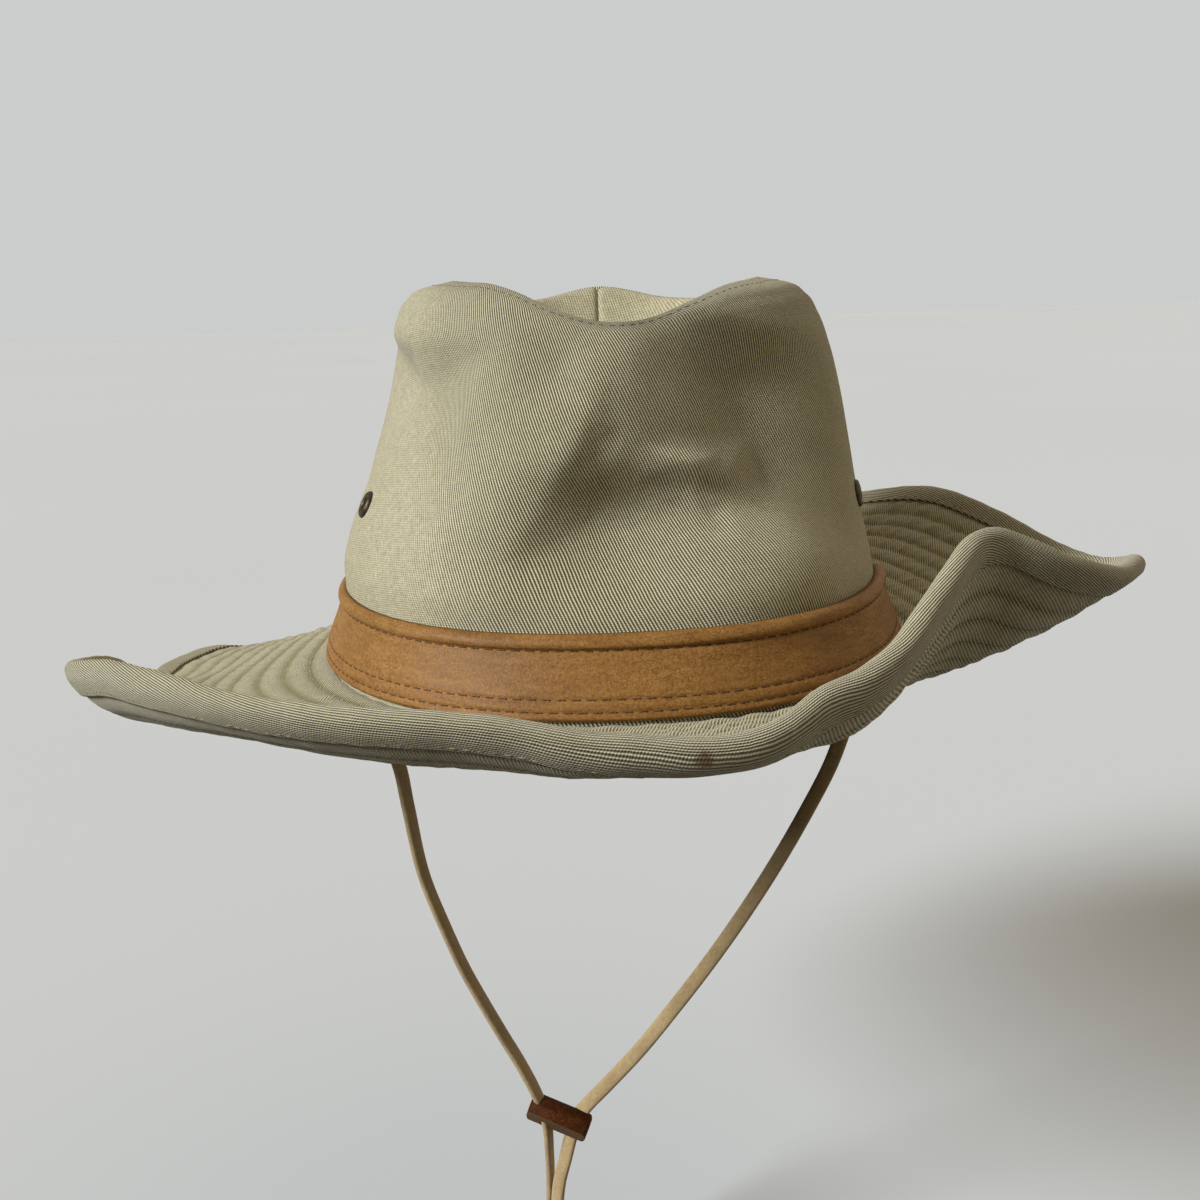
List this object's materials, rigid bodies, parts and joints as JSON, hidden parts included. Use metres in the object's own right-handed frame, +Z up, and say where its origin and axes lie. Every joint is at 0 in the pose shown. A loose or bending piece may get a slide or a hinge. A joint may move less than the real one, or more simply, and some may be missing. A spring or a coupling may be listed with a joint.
{
  "type": "fedora hat",
  "caption": "Soft cotton-twill fedora with a pinched crown, a quilted brim turned up at one side, a leather band, vent eyelets and a lace chin cord with a slider",
  "frame": {"origin": "the middle of the head opening, in the plane where the brim leaves the crown", "axes": "+Z up through the crown, the hat's front faces -Y, +X is the viewer's right when looking at the front"},
  "size_m": [0.3114, 0.3475, 0.3207],
  "materials": {
    "twill": "matte khaki cotton twill",
    "band_leather": "smooth tan leather with a soft sheen",
    "bronze": "dark antique bronze",
    "suede": "matte tan suede",
    "slider_leather": "dark red-brown rolled leather"
  },
  "bodies": {
    "root": {"crown_wall": "twill", "crown_tip_left": "twill", "crown_tip_right": "twill", "brim": "twill", "brim_binding": "twill", "hat_band": "band_leather", "eyelet_left": "bronze", "eyelet_right": "bronze", "chin_cord_left": "suede", "chin_cord_right": "suede", "cord_slider": "slider_leather", "cord_knot": "suede"}
  },
  "joints": []
}
